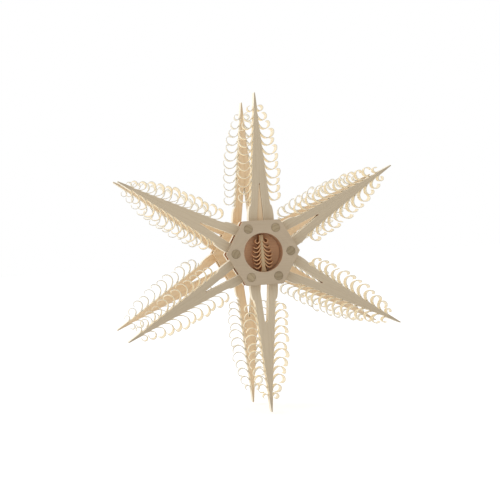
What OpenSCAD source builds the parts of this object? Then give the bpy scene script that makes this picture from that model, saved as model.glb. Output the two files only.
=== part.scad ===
/* [Star] */
// Distance from the centre to the tip of every point
tip_r = 75; // [60:0.5:100]
// Turn of the rear star behind the front one, clockwise as seen from the front
rear_turn = 1.6; // [0:0.1:30]

/* [Plates] */
// Diameter of the round window in the front cover
window_d = 18.2; // [15:0.1:24]
// Wood between the window and each peg
window_land = 1.85; // [1.2:0.05:4]
// Wood between each peg and the corner of its plate
corner_land = 2.3; // [1:0.05:5]
// Thickness of a plate
plate_t = 3.5; // [2:0.1:6]
// Wood left under each blind hole in an inner plate
blind_floor = 1.5; // [0.6:0.1:1.8]

/* [Core] */
// Length of the round block between the two stars
core_len = 30; // [10:0.5:60]
// Diameter of the block
core_d = 19; // [15:0.5:26]
// Diameter of the spigot at each end of the block
spigot_d = 12; // [6:0.5:14]
// Gap round a spigot in its blind hole
spigot_fit = 0.05; // [0.02:0.01:0.2]

/* [Pegs] */
// Diameter of a peg
peg_d = 4.1; // [2.5:0.1:5]
// Gap round a peg in its holes and notches
peg_fit = 0.05; // [0.02:0.01:0.2]

/* [Points] */
// Thickness of a point
point_t = 5; // [3:0.1:8]
// Width of a point where it leaves the plates
root_w = 13.2; // [11:0.1:15]
// Width of a point where its shaved edges begin
shoulder_w = 10.5; // [8:0.1:11]
// Length of the rounded shoulder between the plates and the shaved edges
shoulder_len = 7.2; // [3:0.1:12]
// Width of the blunt tip
tip_w = 0.5; // [0.3:0.1:2]
// Gap between the mitred ends of two neighbouring points
mitre_gap = 0.1; // [0.02:0.01:0.3]

/* [Slots] */
// Distance from the centre to the outer end of the slot in a point
slot_end_r = 32; // [26:0.5:45]
// Width of the slot at the edge of the plates
slot_w = 4.4; // [2:0.1:5.5]
// Diameter of the hole that ends the slot
slot_hole_d = 0.6; // [0.4:0.1:2]
// Wood between the window and the inner end of each slot but the one that holds the tree
slot_wall = 2.4; // [1:0.1:4]
// Gap between the wedge in the slot of the top front point and the right side of that slot
wedge_gap = 0.35; // [0.1:0.05:0.6]

/* [Shavings] */
// Bare length of a point between its tip and the first shaving
bare_tip = 7.4; // [3:0.1:12]
// Bare length between the last shaving and the shoulder
bare_shoulder = 2.6; // [1.5:0.1:6]
// Spacing of the shavings along an edge
shaving_pitch = 3.75; // [3:0.05:6]
// How far the longest shavings stand out from the edge
shaving_reach = 6.6; // [3:0.1:7]
// Thickness of a shaving
shaving_t = 0.35; // [0.2:0.01:0.5]
// Depth of the nick that the knife leaves under the root of a shaving
nick = 0.15; // [0.05:0.01:0.3]
// Clear gap between a shaving and the next one
shaving_gap = 0.4; // [0.2:0.05:0.8]
// Turn of a shaving from its root to its end, in degrees
shaving_turn = 262; // [200:1:300]

/* [Tree] */
// How far each face of the little tree in the window stands back from the faces of the points
tree_inset = 0.3; // [0.1:0.05:1]
// Width of its trunk at the top
tree_top_w = 2; // [0.8:0.1:2.4]
// Width of its trunk at the bottom of the window
tree_foot_w = 2.9; // [1.6:0.1:4]
// Gap between the top of the tree and the window
tree_top_gap = 0.9; // [0.4:0.1:3]
// Gap between its widest shavings and the side of the window
tree_side_gap = 4.2; // [3:0.1:6]
// Bare length of the trunk above its first shaving
tree_bare_tip = 2.7; // [0.5:0.1:4]
// Bare length of the trunk below its last shaving
tree_bare_foot = 2.4; // [1:0.1:5]
// Spacing of its shavings
tree_pitch = 1.85; // [1.4:0.05:3]
// Thickness of its shavings
tree_shaving_t = 0.3; // [0.15:0.01:0.35]
// Clear gap between one of its shavings and the next one
tree_shaving_gap = 0.2; // [0.1:0.05:0.4]
// Lean of the tree to the left, in degrees
tree_lean = 1.3; // [0:0.1:4]
// Distance of its foot to the right of the middle of the window
tree_shift = 0.4; // [-1:0.1:1]
// Gap round the foot of the tree and round the wedge in their slots
tree_fit = 0.08; // [0.02:0.01:0.2]

/* [Hidden] */
PLACES = ["top", "upper_left", "lower_left", "bottom", "lower_right", "upper_right"];
$fn = 64;

// Six points and six pegs stand round the hub, a peg half a step after each point
step = 360 / len(PLACES);
top_angle = 90;

// Radii from the centre of the hub
window_r = window_d / 2;
peg_circle_r = window_r + window_land + peg_d / 2;
plate_corner_r = peg_circle_r + peg_d / 2 + corner_land;
plate_edge = plate_corner_r * cos(step / 2);
peg_hole_r = peg_d / 2 + peg_fit;
spigot_hole_r = spigot_d / 2 + spigot_fit;

// Faces of the layers, measured forwards from the back of the rear cover
rear_point_at = plate_t;
rear_inner_at = rear_point_at + point_t;
core_at = rear_inner_at + plate_t;
front_inner_at = core_at + core_len;
front_point_at = front_inner_at + plate_t;
front_cover_at = front_point_at + point_t;

// Pegs and spigots sit this deep in the inner plates
seat = plate_t - blind_floor;
peg_len = plate_t + point_t + seat;

// Outline of a point: u runs out from the centre along its axis, v across it
shoulder_u = plate_edge + shoulder_len;
shaved_len = tip_r - bare_tip - shoulder_u - bare_shoulder;
shaving_count = floor(shaved_len / shaving_pitch) + 1;
slot_start_r = window_r + slot_wall;
slot_taper = (slot_w - slot_hole_d) / (slot_end_r - plate_edge);
mitre_slope = tan(step / 2);
mitre_tip_u = mitre_gap / 2 / sin(step / 2);
shoulder_steps = 6;
cut_over = 1;

// Form of one shaving: it leaves the edge at an angle in a wide bend, rounds over and ends in a tight hook
start_angle = 20;
lift_angle = 45;
lift_to_ring = 2.2;
ring_along = lift_to_ring * (sin(lift_angle) - sin(start_angle)) - sin(lift_angle);
ring_out = lift_to_ring * (cos(start_angle) - cos(lift_angle)) + cos(lift_angle);
curl_steps = 12;
reach_power = 0.6;
hub_drop = 0.3;
short_turn = 160;
reach_wander = 0.06;
turn_wander = 24;
wander_step = 137.5;

// The tree stands on the bottom of the window
tree_h = window_d - tree_top_gap;
trunk_mid_w = (tree_top_w + tree_foot_w) / 2;
tree_reach = window_r - tree_side_gap - trunk_mid_w / 2;
tree_shaved_len = tree_h - tree_bare_tip - tree_bare_foot;
tree_count = floor(tree_shaved_len / tree_pitch) + 1;
tree_t = point_t - 2 * tree_inset;
foot_top_r = window_r + tree_fit;
foot_end_r = plate_edge - tree_fit;

WOOD = [0.87, 0.78, 0.63];
WOOD_WARM = [0.85, 0.71, 0.53];
WOOD_DARK = [0.74, 0.66, 0.52];

function place_angle(i) = top_angle + i * step;

function peg_angle(i) = place_angle(i) + step / 2;

function slot_half(u) = slot_hole_d / 2 + slot_taper * (slot_end_r - u) / 2;

// How far a shaving stands out: it swells from the tip to the middle of the row, then eases off
function reach_at(k, n, most, phase) =
    let (
        x = (k + 1) / (n + 1),
        swell = x < 0.5 ? pow(sin(180 * x), reach_power) : 1 - hub_drop * pow(2 * x - 1, 2)
    )
    most * swell * (1 + reach_wander * sin(k * wander_step + phase));

function turn_at(k, phase) = shaving_turn + turn_wander * sin(2 * k * wander_step + phase);

// Radius of the round part of a shaving with the given reach
function ring_bend(reach) = reach / (ring_out + 1);

// Radius of the widest hook that clears the round part of the shaving before it
function hook_room(ring, before, pitch, t, gap) =
    let (
        along = pitch + ring_along * (ring - before),
        out = (ring_out + 1) * ring - ring_out * before,
        far = before + t + gap
    )
    (along * along + out * out - far * far) / (2 * (out + far));

function bend_at(turn, ring, hook) =
    turn < lift_angle ? lift_to_ring * ring : turn < 180 ? ring : hook;

// Middle line of a shaving as [along the edge towards the hub, out from the edge, turn so far]
function curl_line(ring, hook, turn, t) =
    let (part = (turn - start_angle) / curl_steps)
    [for (
        i = 0, p = [0, -t / 2], a = start_angle + part / 2;
        i <= curl_steps;
        p = p + 2 * bend_at(a, ring, hook) * sin(part / 2) * [cos(a), sin(a)],
        i = i + 1,
        a = a + part
    ) [p[0], p[1], a - part / 2]];

// One side of a shaving, given its middle line and the distance of that side from it
function curl_side(line, off) = [for (q = line) [q[0] - off * sin(q[2]), q[1] + off * cos(q[2])]];

// Both sides of a shaving and the nick under its root, still in the edge's own directions
function curl_outline(line, t) =
    let (back = curl_side(line, -t / 2), n = len(line))
    concat(curl_side(line, t / 2), [for (i = [1 : n]) back[n - i]], [[0, -t - nick]]);

// A shaved edge from the tip end at a to the hub end at b, both [u, half width]
function shaved_edge(a, b, first, n, pitch, most, t, gap, phase) =
    let (along = (b - a) / norm(b - a), out = [along[1], -along[0]])
    [for (k = [0 : n - 1])
        let (
            root = a + along * (first + k * pitch),
            ring = ring_bend(reach_at(k, n, most, phase)),
            before = ring_bend(reach_at(k - 1, n, most, phase)),
            room = hook_room(ring, before, pitch, t, gap),
            turn = room < t ? short_turn : turn_at(k, phase)
        )
        for (q = curl_outline(curl_line(ring, min(ring, room), turn, t), t))
            root + along * q[0] + out * q[1]];

function mirrored(points) = [for (i = [len(points) - 1 : -1 : 0]) [points[i][0], -points[i][1]]];

// Half outline of a point from its tip to the middle of the hub
function point_side(phase) =
    let (tip = [tip_r, tip_w / 2], shoulder = [shoulder_u, shoulder_w / 2])
    concat(
        [tip],
        shaved_edge(
            tip, shoulder, bare_tip, shaving_count,
            shaving_pitch, shaving_reach, shaving_t, shaving_gap, phase
        ),
        [for (i = [0 : shoulder_steps])
            let (a = 90 * i / shoulder_steps)
            [plate_edge + shoulder_len * cos(a), (shoulder_w + (root_w - shoulder_w) * sin(a)) / 2]],
        [[mitre_tip_u + root_w / 2 / mitre_slope, root_w / 2]]
    );

// Half outline of the tree from its top to the bottom of the window
function tree_side(phase) =
    let (top = [tree_h, tree_top_w / 2], foot = [0, tree_foot_w / 2])
    concat(
        [top],
        shaved_edge(
            top, foot, tree_bare_tip, tree_count,
            tree_pitch, tree_reach, tree_shaving_t, tree_shaving_gap, phase
        ),
        [foot]
    );

// Stands a flat outline upright as a layer, the given distance forward of the back face
module layer(at, t) {
    rotate([90, 0, 0]) translate([0, 0, at]) linear_extrude(t) children();
}

module round_bar(at, t, r) {
    rotate([90, 0, 0]) translate([0, 0, at]) cylinder(h = t, r = r);
}

module peg_holes(at, t) {
    for (i = [0 : len(PLACES) - 1])
        rotate([0, -peg_angle(i), 0])
            translate([peg_circle_r, 0, 0]) round_bar(at, t, peg_hole_r);
}

module plate_blank(at) {
    layer(at, plate_t) circle(r = plate_corner_r, $fn = len(PLACES));
}

// A plate on the outside of a star, with its pegs right through it
module cover_plate(at) {
    difference() {
        plate_blank(at);
        peg_holes(at - cut_over, plate_t + 2 * cut_over);
    }
}

// A plate between a star and the core, with blind holes for the pegs and for a spigot in opposite faces
module inner_plate(at, pegs_at, spigot_at) {
    difference() {
        plate_blank(at);
        peg_holes(pegs_at, seat + cut_over);
        round_bar(spigot_at, seat + cut_over, spigot_hole_r);
    }
}

module slot_cut(at, inner_u) {
    layer(at - cut_over, point_t + 2 * cut_over)
        polygon([
            [inner_u, -slot_half(inner_u)],
            [slot_end_r, -slot_half(slot_end_r)],
            [slot_end_r, slot_half(slot_end_r)],
            [inner_u, slot_half(inner_u)]
        ]);
    translate([slot_end_r, 0, 0]) round_bar(at - cut_over, point_t + 2 * cut_over, slot_hole_d / 2);
}

// A point lying along +X, before it is turned to its place
module point_blank(at, phase, slot_from) {
    difference() {
        layer(at, point_t)
            polygon(concat(point_side(phase), [[mitre_tip_u, 0]], mirrored(point_side(phase + step))));
        round_bar(at - cut_over, point_t + 2 * cut_over, window_r);
        slot_cut(at, slot_from);
        for (side = [-1, 1])
            rotate([0, side * step / 2, 0])
                translate([peg_circle_r, 0, 0]) round_bar(at - cut_over, point_t + 2 * cut_over, peg_hole_r);
    }
}

// A peg that runs through a cover and the points of a star into its inner plate
module peg(at, angle) {
    rotate([0, -angle, 0]) translate([peg_circle_r, 0, 0]) round_bar(at, peg_len, peg_d / 2);
}

module front_cover() {
    color(WOOD)
        difference() {
            cover_plate(front_cover_at);
            round_bar(front_cover_at - cut_over, plate_t + 2 * cut_over, window_r);
        }
}

module front_inner_plate() {
    color(WOOD_WARM) inner_plate(front_inner_at, front_point_at - seat, front_inner_at - cut_over);
}

module core_block() {
    color(WOOD_WARM) {
        round_bar(core_at, core_len, core_d / 2);
        round_bar(core_at - seat, core_len + 2 * seat, spigot_d / 2);
    }
}

module rear_inner_plate() {
    color(WOOD_WARM)
        rotate([0, rear_turn, 0]) inner_plate(rear_inner_at, rear_inner_at - cut_over, core_at - seat);
}

module rear_cover() {
    color(WOOD) rotate([0, rear_turn, 0]) cover_plate(0);
}

// The slot of the bottom front point opens into the window, because the foot of the tree fills it
module front_point(i) {
    slot_from = PLACES[i] == "bottom" ? window_r - cut_over : slot_start_r;
    color(WOOD) rotate([0, -place_angle(i), 0]) point_blank(front_point_at, i * step, slot_from);
}

module rear_point(i) {
    color(WOOD_WARM)
        rotate([0, rear_turn - place_angle(i), 0])
            point_blank(rear_point_at, (i + 0.5) * step, slot_start_r);
}

module front_peg(i) {
    color(WOOD_DARK) peg(front_point_at - seat, peg_angle(i));
}

module rear_peg(i) {
    color(WOOD_DARK) peg(0, peg_angle(i) - rear_turn);
}

module tree_layer() {
    layer(front_point_at + tree_inset, tree_t) children();
}

module shaving_tree() {
    foot_top = slot_half(foot_top_r) - tree_fit;
    foot_end = slot_half(foot_end_r) - tree_fit;
    tenon = tree_foot_w / 2;
    color(WOOD) {
        tree_layer()
            translate([tree_shift, -window_r])
                rotate(top_angle + tree_lean)
                    polygon(concat(
                        tree_side(0),
                        [[-tenon, tenon], [-tenon, -tenon]],
                        mirrored(tree_side(step))
                    ));
        tree_layer()
            polygon([
                [-foot_top, -foot_top_r],
                [foot_top, -foot_top_r],
                [foot_end, -foot_end_r],
                [-foot_end, -foot_end_r]
            ]);
    }
}

// A wedge that fills the slot of the top front point, tight against its left side
module slot_wedge() {
    inner_u = slot_start_r + tree_fit;
    inner = slot_half(inner_u);
    outer = slot_half(slot_end_r);
    color(WOOD_WARM)
        tree_layer()
            polygon([
                [tree_fit - inner, inner_u],
                [inner - wedge_gap, inner_u],
                [outer - wedge_gap, slot_end_r],
                [tree_fit - outer, slot_end_r]
            ]);
}

front_cover();
front_inner_plate();
core_block();
rear_inner_plate();
rear_cover();
shaving_tree();
slot_wedge();
for (i = [0 : len(PLACES) - 1]) {
    front_point(i);
    rear_point(i);
    front_peg(i);
    rear_peg(i);
}
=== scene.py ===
"""Looks of the wood shaving star: shaved points, pegged plates and a small tree, in soft studio light."""

import math
import random
from collections import namedtuple

import bpy
from mathutils import Matrix, Vector, geometry


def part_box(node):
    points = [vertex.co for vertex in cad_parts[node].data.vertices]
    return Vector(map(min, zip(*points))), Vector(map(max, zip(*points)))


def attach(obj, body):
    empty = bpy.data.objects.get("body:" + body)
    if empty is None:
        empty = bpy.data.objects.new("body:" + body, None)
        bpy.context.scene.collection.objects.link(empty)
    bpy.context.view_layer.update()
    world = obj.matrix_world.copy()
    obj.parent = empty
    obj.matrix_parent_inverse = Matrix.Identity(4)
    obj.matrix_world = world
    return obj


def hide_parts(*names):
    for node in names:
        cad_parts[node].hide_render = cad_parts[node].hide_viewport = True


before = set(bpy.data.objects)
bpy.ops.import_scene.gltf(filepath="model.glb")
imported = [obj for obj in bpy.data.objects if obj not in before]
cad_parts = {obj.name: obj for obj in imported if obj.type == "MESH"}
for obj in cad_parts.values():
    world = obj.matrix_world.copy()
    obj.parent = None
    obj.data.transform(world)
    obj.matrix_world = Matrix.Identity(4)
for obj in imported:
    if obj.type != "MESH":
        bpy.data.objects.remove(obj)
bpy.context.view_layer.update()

# Sizes in millimetres, as the solids have them
MM = 0.001
PLACES = ("top", "upper_left", "lower_left", "bottom", "lower_right", "upper_right")
STEP = 360 / len(PLACES)
TOP_ANGLE = 90.0
REAR_TURN = 1.6
TIP_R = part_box("front_point_top")[1].z / MM
TIP_W = 0.5
PLATE_CORNER_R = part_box("front_cover")[1].x / MM
PLATE_EDGE = PLATE_CORNER_R * math.cos(math.radians(STEP / 2))
WINDOW_R = 9.1
CORE_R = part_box("core_block")[1].x / MM
CORE_LEN = 30.0
SPIGOT_R = 6.0
SPIGOT_FIT = 0.05
SEAT = 2.0
PEG_R = 2.05
PEG_FIT = 0.05
PEG_CIRCLE_R = 13.0
ROOT_W = 13.2
SHOULDER_W = 10.5
SHOULDER_LEN = 7.2
SHOULDER_U = PLATE_EDGE + SHOULDER_LEN
MITRE_GAP = 0.1
SLOT_END_R = 32.0
SLOT_W = 4.4
SLOT_HOLE_R = 0.3
SLOT_WALL = 2.4
SLOT_START_R = WINDOW_R + SLOT_WALL
TREE_LEAN = 1.3
TREE_SHIFT = 0.4
TREE_TOP_GAP = 0.9
TREE_TOP_W = 2.0
TREE_FOOT_W = 2.9
TREE_SIDE_GAP = 4.2
TREE_FIT = 0.08

# Sizes that the looks alone have: the blunt end of the tree's slot, the wedge's slot and the nicks
TREE_SLOT_HOLE_R = 0.7
WEDGE_GAP = 0.2
WEDGE_SLOT_NARROW = 0.85
NICK = 0.06

# Steps of the round forms, and of a shoulder's bend in degrees
WINDOW_STEPS = 96
CORE_STEPS = 96
SOCKET_STEPS = 64
PEG_STEPS = 40
NICHE_ARC_STEPS = 16
NOTCH_STEPS = 14
SLOT_END_STEPS = 12
SHOULDER_STEP = 10

# Rows of shavings: bare length next to the tip, count, pitch, longest reach, thickness and least gap
POINT_BARE_TIP = 7.4
POINT_SHAVINGS = 12
POINT_PITCH = 3.75
POINT_REACH = 6.6
POINT_SHAVING_T = 0.35
POINT_SHAVING_GAP = 0.4
TREE_BARE_TIP = 2.7
TREE_SHAVINGS = 7
TREE_PITCH = 1.85
TREE_SHAVING_T = 0.7
TREE_SHAVING_GAP = 0.2

# Form of a shaving: it leaves the edge at an angle, in a wide bend, a round part and a tight hook
START_ANGLE = 20.0
LIFT_ANGLE = 45.0
LIFT_TO_RING = 2.2
LIFT_ALONG = LIFT_TO_RING * (math.sin(math.radians(LIFT_ANGLE)) - math.sin(math.radians(START_ANGLE)))
LIFT_OUT = LIFT_TO_RING * (math.cos(math.radians(START_ANGLE)) - math.cos(math.radians(LIFT_ANGLE)))
RING_ALONG = LIFT_ALONG - math.sin(math.radians(LIFT_ANGLE))
RING_OUT = LIFT_OUT + math.cos(math.radians(LIFT_ANGLE))
HOOK_ANGLE = 180.0
CURL_STEPS = 28
SCOOP_STEPS = 3
SCOOP_DIP = 0.12
REACH_POWER = 0.6
HUB_DROP = 0.3
SHORT_TURN = 160.0
MEAN_TURN = 275.0
REACH_WANDER = 0.06
TURN_WANDER = 24.0
WANDER_STEP = 137.5
SHAVED_THIN = 0.8
END_THIN = 0.5
ROOT_SHARE = 0.04

# A last short flick next to the shoulder, which some edges have
FLICK_ODDS = 0.6
FLICK_STEP = 2.4
FLICK_RING = 0.95
FLICK_LEAST = 0.8
FLICK_TURN = 105.0

# Spread from back to front and chance differences, for a shaving whose ring has the usual radius
USUAL_RING = 3.0
FLARE_FULL = 0.5
CONE = 0.02
CUP = 0.02
SKEW = 0.1
SPREAD = 0.3
SPREAD_CHANCE = 0.05
DRIFT = 0.3
NARROW = 0.12
TURN_CHANCE = 15.0
TONE = 0.05

# Rounded rims: each step as (depth, inset) shares of the rim's size, with a limit at sharp corners
RIM_STEPS = ((0.0, 1.0), (0.3, 0.3), (1.0, 0.0))
BOARD_RIM = 0.14
RIBBON_RIM = 0.04
INNER_LAYERS = (0.3, 0.5, 0.7)
SHARP_CORNER = 0.6
TINY = 1e-6
SMOOTH_ANGLE = math.radians(42)

# Turned pieces: their eased ends, and the tone of each peg, which the rear pegs take in a shifted order
EASE = 0.3
PEG_EASE = 0.15
PEG_TONES = (0.0, -0.03, 0.11, -0.08, -0.1, 0.06)
REAR_PEG_SHIFT = 2

# Points set by hand don't lie quite true: the sideways shift of a point outside the plates, at the right and
# left of its root and at its tip, as seen from the front with the point upwards
Lean = namedtuple("Lean", "right left tip")
TRUE = Lean(0.0, 0.0, 0.0)
LEANS = {
    "front_point_top": Lean(0.0, -1.15, -1.15),
    "front_point_upper_left": Lean(0.5, 0.9, 0.8),
    "front_point_lower_left": Lean(1.3, 0.0, 0.0),
    "rear_point_upper_left": Lean(0.3, 0.3, 0.65),
    "rear_point_lower_left": Lean(-2.2, -2.2, -1.7),
    "rear_point_bottom": Lean(0.0, 0.0, 0.8),
    "rear_point_lower_right": Lean(1.0, 0.0, 1.0),
}
LEAN_FADE = 1.6

# Where a piece lies in the tree it was cut from: ranges along, across and through the trunk
BOARD_PLACE = ((0, 300), (14, 30), (60, 75))
PEG_PLACE = ((2, 5), (-4, 4), (0, 40))

# Wood: scales of its slow changes and its fibres per millimetre, and how much they show
SLOW_SCALE = (0.02, 0.12, 0.12)
SLOW_DETAIL = 3.0
SLOW_TONES = ((0.3, (0.965, 0.955, 0.94, 1)), (0.7, (1.03, 1.03, 1.025, 1)))
FIBRE_SCALE = (0.12, 3.2, 3.2)
FIBRE_DETAIL = 4.0
FIBRE_ROUGHNESS = 0.6
FIBRE_TONES = ((0.3, (0.97, 0.966, 0.96, 1)), (0.7, (1.015, 1.015, 1.01, 1)))
FIBRE_BUMP = 0.25
FIBRE_DEEP = 0.05
RING_WAVER = 5.0
LATE_START = 0.5
LATE_PEAK = 0.88
LEAST_ROUGH = 0.5
MOST_ROUGH = 0.72
GLOSS = 0.3
LIGHT_THROUGH = 0.74

# Marks on the wood: how strong they are, and the distances in millimetres over which they fade in. Besides the
# grey near the tips, they are painted shade, and a painted warm bounce tone on the back of the inner plate
TIP_GREY = 0.5
TIP_GREY_LEN = 9
COVERED_DARK = 0.8
COVERED_FADE = (-0.1, -0.8)
SLOT_HOLE_FADE = (0.12, 0.02)
IN_NICHE_FADE = (0.06, 0.01)
ROUND_NICHE_FADE = (0.2, 0.8)
NICHE_BACK_WARM = 0.8

Edge = namedtuple("Edge", "tip hub first count pitch most thick gap flick")
Shaving = namedtuple("Shaving", "root ring hook turn thick cone skew spread drift")
Spot = namedtuple("Spot", "u v grain thin rim drift narrow")


def cos_deg(angle):
    return math.cos(math.radians(angle))


def sin_deg(angle):
    return math.sin(math.radians(angle))


def depth_range(node):
    """Front and back of a node in millimetres, front first."""
    low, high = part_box(node)
    return low.y / MM, high.y / MM


def board_spot(u, v):
    return Spot(u, v, (u, v), 0.0, BOARD_RIM, 0.0, 0.0)


def reach_at(k, edge, phase):
    """How far a shaving stands out: it swells from the tip to the middle of the row, then eases off."""
    x = (k + 1) / (edge.count + 1)
    swell = max(0.0, sin_deg(180 * x)) ** REACH_POWER if x < 0.5 else 1 - HUB_DROP * (2 * x - 1) ** 2
    return edge.most * swell * (1 + REACH_WANDER * sin_deg(k * WANDER_STEP + phase))


def hook_room(ring, before, edge):
    """Radius of the widest hook that clears the round part of the shaving before it."""
    along = edge.pitch + RING_ALONG * (ring - before)
    out = (RING_OUT + 1) * ring - RING_OUT * before
    far = before + edge.thick + edge.gap
    return (along * along + out * out - far * far) / (2 * (out + far))


def plan_shavings(edge, phase, chance):
    """Every shaving of an edge, from the tip to the hub."""
    planned = []
    for k in range(edge.count):
        ring = reach_at(k, edge, phase) / (RING_OUT + 1)
        before = reach_at(k - 1, edge, phase) / (RING_OUT + 1)
        room = hook_room(ring, before, edge)
        crowded = room < edge.thick
        turn = MEAN_TURN + TURN_WANDER * sin_deg(2 * k * WANDER_STEP + phase)
        planned.append(Shaving(
            root=edge.first + k * edge.pitch,
            ring=ring,
            hook=min(ring, room),
            turn=SHORT_TURN if crowded else turn + chance.uniform(-TURN_CHANCE, TURN_CHANCE),
            thick=edge.thick * SHAVED_THIN,
            cone=chance.uniform(-CONE, CONE),
            skew=chance.uniform(-SKEW, SKEW) * ring / USUAL_RING,
            spread=(SPREAD + chance.uniform(-SPREAD_CHANCE, SPREAD_CHANCE)) * ring / USUAL_RING,
            drift=chance.uniform(-DRIFT, DRIFT),
        ))
    if edge.flick and chance.random() < FLICK_ODDS:
        ring = FLICK_RING * chance.uniform(FLICK_LEAST, 1.0)
        turn = FLICK_TURN + chance.uniform(-TURN_CHANCE, TURN_CHANCE)
        planned.append(planned[-1]._replace(
            root=planned[-1].root + FLICK_STEP, ring=ring, hook=ring, turn=turn, skew=0.0,
        ))
    return planned


def curl_line(shaving, depth):
    """Middle line of a shaving at a depth from -1, front, to 1, back, as (along, out, turn, length, share)."""
    swell = 1 + shaving.cone * depth + CUP * (1 - depth * depth)
    part = (shaving.turn - START_ANGLE) / CURL_STEPS
    along, out, length = 0.0, -shaving.thick / 2, 0.0
    line = []
    for i in range(CURL_STEPS + 1):
        share = i / CURL_STEPS
        flare = shaving.spread * depth * min(1.0, share / FLARE_FULL)
        line.append((along + shaving.skew * depth * share, out - flare, START_ANGLE + i * part, length, share))
        middle = START_ANGLE + (i + 0.5) * part
        bend = LIFT_TO_RING * shaving.ring if middle < LIFT_ANGLE else shaving.ring
        bend = shaving.hook if middle >= HOOK_ANGLE else bend
        chord = 2 * bend * swell * sin_deg(part / 2)
        along += chord * cos_deg(middle)
        out += chord * sin_deg(middle)
        length += chord
    return line


def curl_spots(shaving, depth):
    """Outline of a shaving in its edge's own directions: out along its hollow side and back along the other."""
    line = curl_line(shaving, depth)
    sides = []
    for side in (1, -1):
        row = []
        for along, out, turn, length, share in line:
            half = side * shaving.thick * (1 - END_THIN * share * share) / 2
            thin = min(1.0, share / ROOT_SHARE)
            rim = BOARD_RIM + (RIBBON_RIM - BOARD_RIM) * thin
            row.append(Spot(
                along - half * sin_deg(turn), out + half * cos_deg(turn), (length, half),
                thin, rim, shaving.drift * share, NARROW * share,
            ))
        sides.append(row)
    return sides[0] + sides[1][::-1]


def scoop_spots(shaving, next_root):
    """The bare edge from the nick under a shaving to the next root, slightly hollow."""
    deep = shaving.thick + NICK
    run = next_root - shaving.root
    spots = []
    for i in range(SCOOP_STEPS):
        share = i / SCOOP_STEPS
        dip = deep * (1 - share) + SCOOP_DIP * 4 * share * (1 - share)
        spots.append((run * share, -dip))
    return spots


def shaved_side(edge, shavings, depth):
    """Outline of one shaved edge from its tip to its last nick."""
    along = (edge.hub - edge.tip).normalized()
    out = Vector((along.y, -along.x))
    spots = [board_spot(edge.tip.x, edge.tip.y)]
    roots = [s.root for s in shavings[1:]] + [(edge.hub - edge.tip).length]
    for shaving, next_root in zip(shavings, roots):
        root = edge.tip + along * shaving.root
        for spot in curl_spots(shaving, depth):
            place = root + along * spot.u + out * spot.v
            grain = (root.x - spot.grain[0], root.y + spot.grain[1])
            spots.append(spot._replace(u=place.x, v=place.y, grain=grain))
        for run, dip in scoop_spots(shaving, next_root):
            place = root + along * run + out * dip
            spots.append(board_spot(place.x, place.y))
    return spots


def mirrored(spots):
    """The other side of an outline, in the opposite order."""
    return [s._replace(v=-s.v, grain=(s.grain[0], -s.grain[1])) for s in reversed(spots)]


def arc(centre, r, start, end, steps):
    """Points on a circle between two angles in degrees."""
    angles = [start + (end - start) * i / steps for i in range(steps + 1)]
    return [(centre[0] + r * cos_deg(a), centre[1] + r * sin_deg(a)) for a in angles]


def slot_half(u, hole_r=SLOT_HOLE_R):
    """Half the width of a slot that ends in a hole of the given radius."""
    taper = (SLOT_W / 2 - hole_r) / (SLOT_END_R - PLATE_EDGE)
    return hole_r + taper * (SLOT_END_R - u)


def lean_shift(lean, u, v):
    """Sideways shift of a spot: none under the plates, each side's own at the root, and one at the tip."""
    share = (u - PLATE_EDGE) / (TIP_R - PLATE_EDGE)
    half = ROOT_W / 2 * (1 - share) + TIP_W / 2
    across = max(-1.0, min(1.0, v / half))
    root = lean.right + (lean.left - lean.right) * (1 + across) / 2
    fade = max(0.0, min(1.0, 1 + (u - PLATE_EDGE) / LEAN_FADE))
    return fade * (root * (1 - share) + lean.tip * share)


def slot_right(u, narrow):
    """The right side of a slot, drawn in towards the plates by the given amount."""
    return narrow * (SLOT_END_R - u) / (SLOT_END_R - PLATE_EDGE) - slot_half(u)


def slot_loop(narrow):
    """The slot of a point as a hole, clockwise, with corners where a lean begins."""
    places = (SLOT_START_R, PLATE_EDGE - LEAN_FADE, PLATE_EDGE)
    lower = [(u, slot_right(u, narrow)) for u in places]
    upper = [(u, slot_half(u)) for u in reversed(places)]
    around = lower + arc((SLOT_END_R, 0), SLOT_HOLE_R, -90, 90, SLOT_END_STEPS) + upper
    return [board_spot(u, v) for u, v in reversed(around)]


def hub_side(open_slot):
    """Half outline of a point's inner end: shoulder, peg notch, mitre, window, and the slot if it is open."""
    half_step = STEP / 2
    shoulder = [
        (PLATE_EDGE + SHOULDER_LEN * cos_deg(a), (SHOULDER_W + (ROOT_W - SHOULDER_W) * sin_deg(a)) / 2)
        for a in range(0, 91, SHOULDER_STEP)
    ]
    notch_r = PEG_R + PEG_FIT
    centre = (PEG_CIRCLE_R * cos_deg(half_step), PEG_CIRCLE_R * sin_deg(half_step))
    first = math.degrees(math.asin((ROOT_W / 2 - centre[1]) / notch_r))
    last = half_step - 180 + math.degrees(math.asin(MITRE_GAP / 2 / notch_r))
    notch = arc(centre, notch_r, first, last, NOTCH_STEPS)
    mitre_angle = half_step - math.degrees(math.asin(MITRE_GAP / 2 / WINDOW_R))
    slot_angle = 0.0
    slot_end = []
    if open_slot:
        slot_angle = math.degrees(math.asin(slot_half(WINDOW_R, TREE_SLOT_HOLE_R) / WINDOW_R))
        slot_end = arc((SLOT_END_R, 0), TREE_SLOT_HOLE_R, 90, 0, SLOT_END_STEPS // 2)
    window = arc((0, 0), WINDOW_R, mitre_angle, slot_angle, NICHE_ARC_STEPS)
    return [board_spot(u, v) for u, v in shoulder + notch + window + slot_end]


def point_outline(edge, plans, open_slot, narrow, depth):
    """Closed outline of a point at a depth, anticlockwise, and its slot."""
    upper = shaved_side(edge, plans[0], depth) + hub_side(open_slot)
    lower = shaved_side(edge, plans[1], depth) + hub_side(open_slot)
    outer = upper + mirrored(lower)[1:]
    return [outer] if open_slot else [outer, slot_loop(narrow)]


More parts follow.
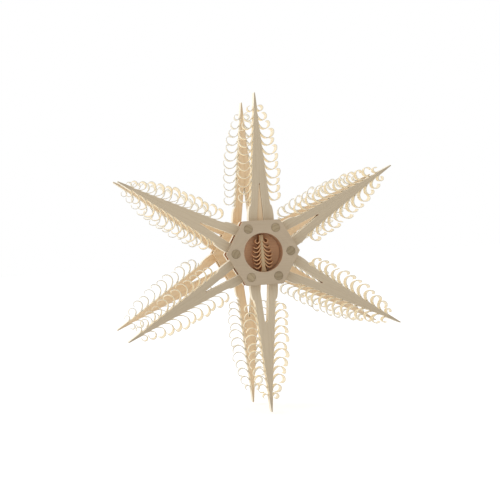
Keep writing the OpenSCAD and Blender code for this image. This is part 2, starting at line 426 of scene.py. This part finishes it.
def inset(loop, size):
    """A loop drawn in by a share of each spot's rim, towards the wood on its left."""
    drawn = []
    for before, here, after in zip(loop[-1:] + loop[:-1], loop, loop[1:] + loop[:1]):
        first = Vector((here.u - before.u, here.v - before.v)).normalized()
        second = Vector((after.u - here.u, after.v - here.v)).normalized()
        normal = Vector((-first.y - second.y, first.x + second.x))
        if normal.length < TINY:
            normal = Vector((-first.y, first.x))
        normal.normalize()
        reach = size * here.rim / max(SHARP_CORNER, normal.dot(Vector((-first.y, first.x))))
        drawn.append(here._replace(u=here.u + normal.x * reach, v=here.v + normal.y * reach))
    return drawn


def board_stack(outline, front, back):
    """The layers of a board from front to back as (place, loops), with its outline drawn in at both rims."""
    middle, half = (front + back) / 2, (back - front) / 2
    rows = [(front + d * BOARD_RIM, size) for d, size in RIM_STEPS]
    rows += [(front + (back - front) * share, 0.0) for share in INNER_LAYERS]
    rows += [(back - d * BOARD_RIM, size) for d, size in reversed(RIM_STEPS)]
    return [(y, [inset(loop, size) for loop in outline((y - middle) / half)]) for y, size in rows]


def turned_stack(stations, steps):
    """The layers of a turned piece from its (place, radius) stations."""
    return [(y, [circle((0, 0), r, steps)]) for y, r in stations]


class Solid:
    """A closed mesh built up from flat loops, with the wood's own directions kept at every corner."""

    def __init__(self, middle, angle, centre, lean, grain_from, tone):
        self.middle, self.turn, self.centre = middle, Matrix.Rotation(math.radians(angle), 2), Vector(centre)
        self.lean, self.grain_from, self.tone = lean, grain_from, tone
        self.verts, self.flat, self.spots, self.grains, self.faces = [], [], [], [], []
        self.thins, self.curls, self.cuts = [], [], []

    def add_loop(self, loop, y, at_end=False):
        """Adds the corners of a loop and gives their numbers."""
        first = len(self.verts)
        for spot in loop:
            leant = Vector((spot.u, spot.v + lean_shift(self.lean, spot.u, spot.v)))
            place = self.turn @ (leant + self.centre)
            deep = y + spot.drift - (y - self.middle) * spot.narrow
            self.verts.append((place.x * MM, deep * MM, place.y * MM))
            self.flat.append(leant.to_3d())
            self.spots.append((spot.u, spot.v, deep))
            self.grains.append(Vector((spot.grain[0], spot.grain[1], y)) + Vector(self.grain_from))
            self.thins.append(0.0 if at_end else spot.thin)
            self.curls.append(spot.thin)
            self.cuts.append(0.0 if at_end else 1.0)
        return list(range(first, len(self.verts)))

    def join(self, front_row, back_row):
        """Walls between two rows of corners."""
        n = len(front_row)
        for i in range(n):
            j = (i + 1) % n
            self.faces.append((front_row[i], back_row[i], back_row[j], front_row[j]))

    def fill(self, loops, to_front):
        """A flat end inside the first loop and outside the others."""
        order = [i for loop in loops for i in loop]
        for triangle in geometry.tessellate_polygon([[self.flat[i] for i in loop] for loop in loops]):
            a, b, c = (order[i] for i in triangle)
            left = (self.flat[b] - self.flat[a]).cross(self.flat[c] - self.flat[a]).z > 0
            self.faces.append((a, b, c) if left == to_front else (c, b, a))

    def fill_slotted(self, outer, slot, to_front):
        """A flat end of a point as two halves, which meet between its tip, its slot and the window."""
        window = min(range(len(outer)), key=lambda i: abs(self.spots[outer[i]][1]))
        slot_end = max(range(len(slot)), key=lambda i: self.spots[slot[i]][0])
        self.fill([outer[:window + 1] + slot[:slot_end + 1]], to_front)
        self.fill([outer[window:] + outer[:1] + slot[slot_end:] + slot[:1]], to_front)

    def piece(self, name):
        """The finished object."""
        mesh = bpy.data.meshes.new(name)
        mesh.from_pydata(self.verts, [], self.faces)
        mesh.validate()
        for label, values in (("grain", self.grains), ("spot", self.spots)):
            store = mesh.attributes.new(label, "FLOAT_VECTOR", "POINT")
            store.data.foreach_set("vector", [x for value in values for x in value])
        tones = [self.tone] * len(self.verts)
        for label, values in (
            ("thin", self.thins), ("curl", self.curls), ("cut", self.cuts), ("tone", tones),
        ):
            mesh.attributes.new(label, "FLOAT", "POINT").data.foreach_set("value", values)
        mesh.polygons.foreach_set("use_smooth", [True] * len(mesh.polygons))
        mesh.set_sharp_from_angle(angle=SMOOTH_ANGLE)
        made = bpy.data.objects.new(name, mesh)
        bpy.context.scene.collection.objects.link(made)
        return made


def layered_solid(name, stack, front_pits=(), back_pits=(), angle=0.0, centre=(0.0, 0.0), lean=TRUE,
                  grain_from=(0, 0, 0), tone=0.0, slotted=False):
    """A closed piece through the loops of its layers. A pit is a loop that goes in from an end by the seat."""
    front, back = stack[0][0], stack[-1][0]
    solid = Solid((front + back) / 2, angle, centre, lean, grain_from, tone)
    rows = []
    for y, loops in stack:
        at_end = y in (front, back)
        rows.append([solid.add_loop(loop, y, at_end) for loop in loops])
    for front_row, back_row in zip(rows, rows[1:]):
        for front_loop, back_loop in zip(front_row, back_row):
            solid.join(front_loop, back_loop)
    for pits, end_row, y, to_front in ((front_pits, rows[0], front, True), (back_pits, rows[-1], back, False)):
        mouths = []
        for pit in pits:
            mouth = solid.add_loop(pit, y, True)
            floor = solid.add_loop(pit, y + SEAT if to_front else y - SEAT)
            solid.join(*((mouth, floor) if to_front else (floor, mouth)))
            solid.fill([floor], to_front)
            mouths.append(mouth)
        if slotted:
            solid.fill_slotted(*end_row, to_front)
        else:
            solid.fill(end_row + mouths, to_front)
    return solid.piece(name)


def dress(piece, node, material):
    """Puts a piece in the place of its node, on the one body of the star."""
    piece.data.materials.append(material)
    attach(piece, "root")
    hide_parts(node)


def grain_place(chance, ranges=BOARD_PLACE):
    """A piece's own place in the tree it was cut from."""
    return tuple(chance.uniform(low, high) for low, high in ranges)


def make_board(node, outline, slot, material, **form):
    """A flat piece in the place of its node, cut from its own part of the plank."""
    chance = random.Random(node)
    piece = layered_solid(
        node + "_wood", board_stack(outline, *depth_range(node)), grain_from=grain_place(chance),
        tone=chance.uniform(-TONE, TONE), **form,
    )
    dress(piece, node, material)


def make_point(node, angle, phase, slot, material):
    """One point with its shavings, turned to its place."""
    chance = random.Random(node + "_shavings")
    edge = Edge(
        tip=Vector((TIP_R, TIP_W / 2)), hub=Vector((SHOULDER_U, SHOULDER_W / 2)), first=POINT_BARE_TIP,
        count=POINT_SHAVINGS, pitch=POINT_PITCH, most=POINT_REACH, thick=POINT_SHAVING_T,
        gap=POINT_SHAVING_GAP, flick=True,
    )
    plans = [plan_shavings(edge, phase, chance), plan_shavings(edge, phase + STEP, chance)]
    holds_tree = node == "front_point_bottom"
    narrow = WEDGE_SLOT_NARROW if node == "front_point_top" else 0.0
    make_board(
        node, lambda depth: point_outline(edge, plans, holds_tree, narrow, depth), slot, material,
        angle=angle, lean=LEANS.get(node, TRUE), slotted=not holds_tree,
    )


def tree_outline(edge, plans, depth):
    """Closed outline of the tree, with its foot down and its top up."""
    lean = Matrix.Rotation(math.radians(TREE_LEAN), 2)
    sides = shaved_side(edge, plans[0], depth), mirrored(shaved_side(edge, plans[1], depth))
    placed = []
    for side in sides:
        row = []
        for spot in side:
            place = lean @ Vector((spot.u, spot.v))
            row.append(spot._replace(u=place.x - WINDOW_R, v=place.y - TREE_SHIFT))
        placed.append(row)
    top_r, end_r = WINDOW_R + TREE_FIT, PLATE_EDGE - TREE_FIT
    foot_top, foot_end = (slot_half(r, TREE_SLOT_HOLE_R) - TREE_FIT for r in (top_r, end_r))
    trunk = TREE_FOOT_W / 2
    foot = [(-top_r, trunk - TREE_SHIFT), (-top_r, foot_top), (-end_r, foot_end)]
    foot += [(-end_r, -foot_end), (-top_r, -foot_top), (-top_r, -trunk - TREE_SHIFT)]
    return [placed[0] + [board_spot(u, v) for u, v in foot] + placed[1]]


def make_tree(material):
    """The small tree in the window, with a row of shavings on each side of its trunk."""
    chance = random.Random("tree_shavings")
    high = 2 * WINDOW_R - TREE_TOP_GAP
    mean_half_w = (TREE_TOP_W + TREE_FOOT_W) / 4
    edge = Edge(
        tip=Vector((high, TREE_TOP_W / 2)), hub=Vector((0, TREE_FOOT_W / 2)), first=TREE_BARE_TIP,
        count=TREE_SHAVINGS, pitch=TREE_PITCH, most=WINDOW_R - TREE_SIDE_GAP - mean_half_w,
        thick=TREE_SHAVING_T, gap=TREE_SHAVING_GAP, flick=False,
    )
    plans = [plan_shavings(edge, 0, chance), plan_shavings(edge, STEP, chance)]
    make_board(
        "shaving_tree", lambda depth: tree_outline(edge, plans, depth), "tree_wood", material, angle=TOP_ANGLE,
    )


def make_wedge(material):
    """The wedge in the slot of the top front point, against the left side of the slot."""
    places = (SLOT_START_R + TREE_FIT, PLATE_EDGE - LEAN_FADE, PLATE_EDGE, SLOT_END_R)
    right = [(u, slot_right(u, WEDGE_SLOT_NARROW) + WEDGE_GAP) for u in places]
    left = [(u, slot_half(u) - TREE_FIT) for u in reversed(places)]
    loop = [board_spot(u, v) for u, v in right + left]
    make_board(
        "slot_wedge", lambda depth: [loop], "rear_wood", material, angle=TOP_ANGLE,
        lean=LEANS["front_point_top"],
    )


def circle(centre, r, steps):
    """A round loop, anticlockwise."""
    return [board_spot(u, v) for u, v in arc(centre, r, 0, 360 * (1 - 1 / steps), steps - 1)]


def hole(centre, r, steps):
    """A round loop, clockwise."""
    return circle(centre, r, steps)[::-1]


def hexagon():
    return [board_spot(u, v) for u, v in arc((0, 0), PLATE_CORNER_R, 0, 360 - STEP, len(PLACES) - 1)]


def peg_holes():
    places = arc((0, 0), PEG_CIRCLE_R, 0, 360 - STEP, len(PLACES) - 1)
    return [hole(place, PEG_R + PEG_FIT, PEG_STEPS) for place in places]


def make_plates(plate_wood, warm_bounce_wood, niche_wood):
    """The four plates: covers that the pegs pass through, and inner plates with blind holes."""
    window = hole((0, 0), WINDOW_R, WINDOW_STEPS)
    socket = hole((0, 0), SPIGOT_R + SPIGOT_FIT, SOCKET_STEPS)
    make_board("front_cover", lambda depth: [hexagon(), window] + peg_holes(), "front_wood", plate_wood)
    make_board("rear_cover", lambda depth: [hexagon()] + peg_holes(), "rear_wood", warm_bounce_wood, angle=-REAR_TURN)
    make_board(
        "front_inner_plate", lambda depth: [hexagon()], "front_wood", niche_wood,
        front_pits=peg_holes(), back_pits=[socket],
    )
    make_board(
        "rear_inner_plate", lambda depth: [hexagon()], "rear_wood", warm_bounce_wood, angle=-REAR_TURN,
        front_pits=[socket], back_pits=peg_holes(),
    )


def make_core(material):
    """The turned block between the two stars, with a spigot at each end."""
    front, back = depth_range("core_block")
    block = (front + back - CORE_LEN) / 2
    half = [
        (front, SPIGOT_R - EASE), (front + EASE, SPIGOT_R), (block, SPIGOT_R), (block, CORE_R - EASE),
        (block + EASE, CORE_R),
    ]
    stations = half + [(front + back - y, r) for y, r in reversed(half)]
    piece = layered_solid(
        "core_block_wood", turned_stack(stations, CORE_STEPS), grain_from=grain_place(random.Random("core")),
    )
    dress(piece, "core_block", material)


def make_peg(node, angle, tone, material):
    """A round peg with eased ends, whose growth rings show on the ends."""
    chance = random.Random(node)
    front, back = depth_range(node)
    third = PEG_EASE / 3
    half = [(front, PEG_R - PEG_EASE), (front + third, PEG_R - third), (front + PEG_EASE, PEG_R)]
    stations = half + [(front + back - y, r) for y, r in reversed(half)]
    piece = layered_solid(
        node + "_wood", turned_stack(stations, PEG_STEPS), angle=angle, centre=(PEG_CIRCLE_R, 0),
        grain_from=grain_place(chance, PEG_PLACE), tone=tone,
    )
    dress(piece, node, material)


def srgb(r, g, b):
    """A colour given as 0 to 255 on a screen, as the light that the shaders take."""
    parts = [x / 255 for x in (r, g, b)]
    return tuple(x / 12.92 if x <= 0.04045 else ((x + 0.055) / 1.055) ** 2.4 for x in parts) + (1.0,)


def add(tree, kind, inputs=None, **settings):
    """A shader node with its settings, and with each input either linked or set."""
    made = tree.nodes.new("ShaderNode" + kind)
    for key, value in settings.items():
        setattr(made, key, value)
    for key, value in (inputs or {}).items():
        if isinstance(value, bpy.types.NodeSocket):
            tree.links.new(value, made.inputs[key])
        else:
            made.inputs[key].default_value = value
    return made


def ramp(tree, factor, stops):
    """A colour ramp over a factor, with its stops as (place, colour)."""
    made = add(tree, "ValToRGB", {"Fac": factor})
    while len(made.color_ramp.elements) < len(stops):
        made.color_ramp.elements.new(0.5)
    for element, (place, colour) in zip(made.color_ramp.elements, stops):
        element.position = place
        element.color = colour
    return made.outputs["Color"]


def blend_colours(tree, factor, first, second, kind="MIX"):
    """Two colours blended by a factor. Colours have sockets 6 and 7 of the node's inputs, and output 2."""
    made = add(tree, "Mix", {0: factor, 6: first, 7: second}, data_type="RGBA", blend_type=kind)
    return made.outputs[2]


def fade(tree, value, none, full, most=1.0):
    """A factor that goes from nothing at one value to the most at another."""
    limits = {"Value": value, "From Min": none, "From Max": full, "To Max": most}
    return add(tree, "MapRange", limits).outputs[0]


def fade_near(tree, value, place, distances, most=1.0):
    """A fade between two distances from a place."""
    return fade(tree, value, place + distances[0], place + distances[1], most)


def mark_at(tree, name):
    """A factor stored at the corners of a piece."""
    return add(tree, "Attribute", attribute_name=name).outputs["Fac"]


def from_hub(tree):
    """Distance from the hub along a point."""
    spot = add(tree, "Attribute", attribute_name="spot").outputs["Vector"]
    return add(tree, "SeparateXYZ", {"Vector": spot}).outputs["X"]


def depth_at(tree):
    """Place from the front of the star to its back."""
    spot = add(tree, "Attribute", attribute_name="spot").outputs["Vector"]
    return add(tree, "SeparateXYZ", {"Vector": spot}).outputs["Z"]


def away_from(tree, u):
    """Distance from a place on the axis of a piece."""
    spot = add(tree, "Attribute", attribute_name="spot").outputs["Vector"]
    flat = add(tree, "VectorMath", {0: spot, 1: (1, 1, 0)}, operation="MULTIPLY").outputs[0]
    return add(tree, "VectorMath", {0: flat, 1: (u, 0, 0)}, operation="DISTANCE").outputs["Value"]


def on_faces(tree, factor):
    """A factor kept to the faces of a board, away from its cut walls."""
    walls = mark_at(tree, "cut")
    faces = add(tree, "Math", {0: 1.0, 1: walls}, operation="SUBTRACT").outputs[0]
    return add(tree, "Math", {0: factor, 1: faces}, operation="MULTIPLY").outputs[0]


def near_tip(tree):
    """The faces of a point, towards its tip."""
    return on_faces(tree, fade(tree, from_hub(tree), TIP_R - TIP_GREY_LEN, TIP_R, TIP_GREY))


def on_curls(tree):
    """All of every shaving."""
    return mark_at(tree, "curl")


def on_curl_edges(tree):
    """The front and back edges of every shaving, which take painted shade, and painted warm light on the tree.
    """
    return on_faces(tree, on_curls(tree))


def under_plates(tree):
    """The part of a point that its plates cover, where painted shade goes."""
    return fade_near(tree, from_hub(tree), PLATE_EDGE, COVERED_FADE, COVERED_DARK)


def in_slot_hole(tree):
    """The wall of the small hole that a slot ends in, where painted shade goes."""
    return fade_near(tree, away_from(tree, SLOT_END_R), SLOT_HOLE_R, SLOT_HOLE_FADE)


def in_niche(tree):
    """The round wall of the window, where painted shade goes."""
    return fade_near(tree, away_from(tree, 0.0), WINDOW_R, IN_NICHE_FADE)


def round_niche(tree):
    """The front face of the inner plate outside the window, where painted shade goes."""
    front, back = depth_range("front_inner_plate")
    to_front = fade(tree, depth_at(tree), back, (front + back) / 2)
    return on_faces(tree, fade_near(tree, away_from(tree, 0.0), WINDOW_R, ROUND_NICHE_FADE, to_front))


def behind_niche(tree):
    """The back face of the inner plate, which takes the painted warm bounce tone of the hub woods."""
    front, back = depth_range("front_inner_plate")
    return on_faces(tree, fade(tree, depth_at(tree), (front + back) / 2, back, NICHE_BACK_WARM))


def wood(name, early, late, ring_w, cut=None, end_grain=False, through=None, marks=()):
    """Bare wood in millimetres of its own grain: growth rings, long fibres, and slow changes of tone.

    Its cut walls are paler than its faces, partly as fresh-cut wood and partly as a painted highlight for walls
    that catch the bright side light, and light comes through it where it is shaved thin. Each mark is a
    function that gives where it lies, and its colour.
    """
    material = bpy.data.materials.new(name)
    material.use_nodes = True
    tree = material.node_tree
    tree.nodes.clear()
    grain = add(tree, "Attribute", attribute_name="grain").outputs["Vector"]
    slow_at = add(tree, "VectorMath", {0: grain, 1: SLOW_SCALE}, operation="MULTIPLY").outputs[0]
    slow = add(tree, "TexNoise", {"Vector": slow_at, "Scale": 1.0, "Detail": SLOW_DETAIL}).outputs["Fac"]
    fibre_at = add(tree, "VectorMath", {0: grain, 1: FIBRE_SCALE}, operation="MULTIPLY").outputs[0]
    fibre = add(tree, "TexNoise", {
        "Vector": fibre_at, "Scale": 1.0, "Detail": FIBRE_DETAIL, "Roughness": FIBRE_ROUGHNESS,
    }).outputs["Fac"]
    parts = add(tree, "SeparateXYZ", {"Vector": grain}).outputs
    across = (parts["X"], parts["Y"]) if end_grain else (parts["Y"], parts["Z"])
    flat = add(tree, "CombineXYZ", {"X": across[0], "Y": across[1]}).outputs[0]
    pith = add(tree, "VectorMath", {0: flat}, operation="LENGTH").outputs["Value"]
    shifted = add(tree, "Math", {0: slow, 1: RING_WAVER, 2: pith}, operation="MULTIPLY_ADD").outputs[0]
    rings = add(tree, "Math", {0: shifted, 1: ring_w}, operation="DIVIDE").outputs[0]
    saw = add(tree, "Math", {0: rings}, operation="FRACT").outputs[0]
    colour = ramp(tree, saw, ((0.0, early), (LATE_START, early), (LATE_PEAK, late), (1.0, early)))
    if cut:
        colour = blend_colours(tree, mark_at(tree, "cut"), colour, cut)
    colour = blend_colours(tree, 1.0, colour, ramp(tree, fibre, FIBRE_TONES), "MULTIPLY")
    colour = blend_colours(tree, 1.0, colour, ramp(tree, slow, SLOW_TONES), "MULTIPLY")
    level = add(tree, "Math", {0: mark_at(tree, "tone"), 1: 1.0}, operation="ADD").outputs[0]
    colour = add(tree, "VectorMath", {0: colour, "Scale": level}, operation="SCALE").outputs[0]
    for place, mark in marks:
        colour = blend_colours(tree, place(tree), colour, mark)
    rough = add(tree, "MapRange", {"Value": fibre, "To Min": LEAST_ROUGH, "To Max": MOST_ROUGH}).outputs[0]
    bump = add(tree, "Bump", {"Height": fibre, "Strength": FIBRE_BUMP, "Distance": FIBRE_DEEP * MM}).outputs[0]
    shader = add(tree, "BsdfPrincipled", {
        "Base Color": colour, "Roughness": rough, "Normal": bump, "Specular IOR Level": GLOSS,
    }).outputs[0]
    if through:
        glow = add(tree, "BsdfTranslucent", {"Color": through}).outputs[0]
        share = add(tree, "Math", {0: mark_at(tree, "thin"), 1: LIGHT_THROUGH}, operation="MULTIPLY").outputs[0]
        mix = add(tree, "MixShader", {0: share})
        tree.links.new(shader, mix.inputs[1])
        tree.links.new(glow, mix.inputs[2])
        shader = mix.outputs[0]
    out = add(tree, "OutputMaterial")
    tree.links.new(shader, out.inputs["Surface"])
    return material


def make_woods():
    """Every wood of the star, by name, in the tones of its early and late growth. The warm tones of the rear
    star, the rear plates, the core, the wedge, the niche plate and the tree are painted warm bounce light, and
    most marks are painted shade.
    """
    # Cut walls: paler as fresh-cut wood, and partly a painted highlight for walls that catch the bright side
    # light
    cream = srgb(250, 240, 220)
    # Painted shade for wood hidden under the plates, and on the inner plate outside the window
    painted_cover_shade = srgb(165, 105, 65)
    # The niche plate's orange face is painted warm light inside the window
    niche = srgb(242, 201, 160)
    # Painted shade on the round wall of the window
    window_wall_shade = srgb(190, 150, 116)
    # A warm tan painted as the warm bounce light between and behind the stars, for the rear plates, the core
    # and the wedge
    warm = srgb(231, 206, 171)
    # Painted shade under the plates and on the window's round wall
    hub_marks = ((under_plates, painted_cover_shade), (in_niche, window_wall_shade))
    front_marks = (
        (near_tip, srgb(150, 138, 120)),
        # Greyer shaving edges, as painted shade
        (on_curl_edges, srgb(217, 208, 189)),
        # A brown hole wall at the slot's end, as painted shade
        (in_slot_hole, srgb(190, 148, 108)),
    )
    rear_marks = (
        (near_tip, srgb(150, 136, 114)),
        # Rear shavings keep a pale cream in place of the rear wood's painted warm tone, and their edges are
        # greyer as painted shade
        (on_curls, srgb(240, 235, 224)),
        (on_curl_edges, srgb(206, 201, 190)),
    )
    return {
        "front": wood(
            "front_wood", early=srgb(205, 189, 163), late=srgb(201, 184, 157), ring_w=1.3, cut=cream,
            through=srgb(255, 251, 240), marks=front_marks + hub_marks,
        ),
        # The rear star is warmer and brighter than the front as painted warm bounce light
        "rear": wood(
            "rear_wood", early=srgb(238, 212, 176), late=srgb(232, 203, 164), ring_w=1.3, cut=cream,
            through=srgb(255, 253, 247), marks=rear_marks + hub_marks,
        ),
        "plate": wood(
            "plate_wood", early=srgb(191, 173, 148), late=srgb(189, 170, 145), ring_w=1.1,
            # Painted shade on the cover's window wall
            marks=((in_niche, window_wall_shade),),
        ),
        "warm": wood("warm_bounce_wood", early=warm, late=srgb(224, 196, 158), ring_w=1.1),
        "niche": wood(
            "niche_wood", early=niche, late=srgb(236, 192, 150), ring_w=1.1, cut=cream,
            marks=((round_niche, painted_cover_shade), (behind_niche, warm)),
        ),
        "peg": wood(
            "peg_wood", early=srgb(170, 152, 123), late=srgb(153, 135, 106), ring_w=1.9, end_grain=True,
        ),
        # The tree's orange cut walls and shaving edges are painted warm light of the niche
        "tree": wood(
            "tree_wood", early=srgb(206, 181, 143), late=srgb(197, 170, 132), ring_w=0.9,
            cut=srgb(215, 158, 104), marks=((on_curl_edges, srgb(226, 178, 132)),),
        ),
    }


def make_star():
    """Every piece of the star. The rear star is turned a little, and its rows wander half a step apart."""
    woods = make_woods()
    # The warm tone of the rear plates, the core and the wedge is painted warm bounce light
    make_plates(woods["plate"], woods["warm"], woods["niche"])
    make_core(woods["warm"])
    make_tree(woods["tree"])
    make_wedge(woods["warm"])
    for i, place in enumerate(PLACES):
        angle = TOP_ANGLE + i * STEP
        peg_angle = angle + STEP / 2
        make_point("front_point_" + place, angle, i * STEP, "front_wood", woods["front"])
        make_point("rear_point_" + place, angle - REAR_TURN, (i + 0.5) * STEP, "rear_wood", woods["rear"])
        make_peg("front_peg_" + place, peg_angle, PEG_TONES[i], woods["peg"])
        make_peg("rear_peg_" + place, peg_angle - REAR_TURN, PEG_TONES[i - REAR_PEG_SHIFT], woods["peg"])


# Camera, measured from the centre of the front cover's face
CAMERA_YAW = 10.04
CAMERA_PITCH = -0.14
CAMERA_ROLL = 3.67
CAMERA_FAR = 606.85
CAMERA_RIGHT = -6.318
CAMERA_UP = 1.153
CAMERA_NEAR = 10.0
SENSOR_W = 36.0
LENS = 93.91


def make_camera():
    """A camera to the star's left, turned a little about its own axis."""
    roll = Matrix.Rotation(math.radians(CAMERA_ROLL), 3, "Z")
    yaw = Matrix.Rotation(math.radians(CAMERA_YAW), 3, "Y")
    pitch = Matrix.Rotation(math.radians(CAMERA_PITCH), 3, "X")
    view = (pitch @ yaw @ roll).transposed()
    upright = Matrix(((1, 0, 0), (0, 0, -1), (0, 1, 0)))
    face = Vector((0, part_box("front_cover")[0].y, 0))
    place = face + upright @ view @ Vector((CAMERA_RIGHT, CAMERA_UP, CAMERA_FAR)) * MM
    data = bpy.data.cameras.new("camera")
    data.sensor_width = SENSOR_W
    data.lens = LENS
    data.clip_start = CAMERA_NEAR * MM
    camera = bpy.data.objects.new("camera", data)
    camera.matrix_world = Matrix.Translation(place) @ (upright @ view).to_4x4()
    bpy.context.scene.collection.objects.link(camera)
    bpy.context.scene.camera = camera


# Floor, in millimetres, with the light that it gives of its own where it is seen
FLOOR_Z = -76.0
FLOOR_HALF = 4000.0
FLOOR_COLOUR = (0.8, 0.8, 0.8, 1)
FLOOR_LIFT = 0.32

# Surround, as strengths in front of the star, at its sides and behind it
WHITE = (1, 1, 1, 1)
FRONT_LIGHT = 0.62
SIDE_LIGHT = 1.15
BACK_LIGHT = 0.8

# Lamp behind the star on its left, in metres and watts
LAMP_PLACE = (-0.65, 0.5, 0.25)
LAMP_AIM = (0, -0.027, 0)
LAMP_SIZE = 0.7
LAMP_POWER = 2.3


def seen_directly(tree):
    """One for rays that show the background itself, in the view, in a gloss or through something clear."""
    path = add(tree, "LightPath").outputs
    seen = path["Is Camera Ray"]
    for ray in ("Is Glossy Ray", "Is Transmission Ray"):
        seen = add(tree, "Math", {0: seen, 1: path[ray]}, operation="MAXIMUM").outputs[0]
    return seen


def make_world():
    """A white surround, brightest at the star's sides, and plain white where it is seen."""
    world = bpy.data.worlds.new("world")
    world.use_nodes = True
    tree = world.node_tree
    tree.nodes.clear()
    towards = add(tree, "TexCoord").outputs["Generated"]
    deep = add(tree, "SeparateXYZ", {"Vector": towards}).outputs["Y"]
    front = add(tree, "MapRange", {
        "Value": deep, "From Min": -1.0, "From Max": 0.0, "To Min": FRONT_LIGHT, "To Max": SIDE_LIGHT,
    }).outputs[0]
    fall = add(tree, "MapRange", {
        "Value": deep, "From Min": 0.0, "From Max": 1.0, "To Min": 0.0, "To Max": BACK_LIGHT - SIDE_LIGHT,
    }).outputs[0]
    light = add(tree, "Math", {0: front, 1: fall}, operation="ADD").outputs[0]
    strength = add(tree, "Mix", {0: seen_directly(tree), 2: light, 3: 1.0}, data_type="FLOAT").outputs[0]
    background = add(tree, "Background", {"Color": WHITE, "Strength": strength}).outputs[0]
    tree.links.new(background, add(tree, "OutputWorld").inputs["Surface"])
    bpy.context.scene.world = world


def make_floor():
    """A plain pale floor that shows white and keeps the star's shadow."""
    half = FLOOR_HALF * MM
    z = FLOOR_Z * MM
    mesh = bpy.data.meshes.new("floor")
    corners = [(-half, -half, z), (half, -half, z), (half, half, z), (-half, half, z)]
    mesh.from_pydata(corners, [], [(0, 1, 2, 3)])
    floor = bpy.data.objects.new("floor", mesh)
    bpy.context.scene.collection.objects.link(floor)
    material = bpy.data.materials.new("floor")
    material.use_nodes = True
    tree = material.node_tree
    tree.nodes.clear()
    pale = add(tree, "BsdfDiffuse", {"Color": FLOOR_COLOUR}).outputs[0]
    lift = add(tree, "Math", {0: seen_directly(tree), 1: FLOOR_LIFT}, operation="MULTIPLY").outputs[0]
    glow = add(tree, "Emission", {"Color": WHITE, "Strength": lift}).outputs[0]
    both = add(tree, "AddShader")
    tree.links.new(pale, both.inputs[0])
    tree.links.new(glow, both.inputs[1])
    tree.links.new(both.outputs[0], add(tree, "OutputMaterial").inputs["Surface"])
    mesh.materials.append(material)


def make_lamp():
    """A soft square lamp that points at the middle of the star."""
    data = bpy.data.lights.new("left", "AREA")
    data.size = LAMP_SIZE
    data.energy = LAMP_POWER
    lamp = bpy.data.objects.new("left", data)
    lamp.location = LAMP_PLACE
    lamp.rotation_euler = (Vector(LAMP_AIM) - Vector(LAMP_PLACE)).to_track_quat("-Z", "Y").to_euler()
    bpy.context.scene.collection.objects.link(lamp)


make_star()
make_camera()
make_world()
make_floor()
make_lamp()
bpy.context.scene.view_settings.view_transform = "Standard"
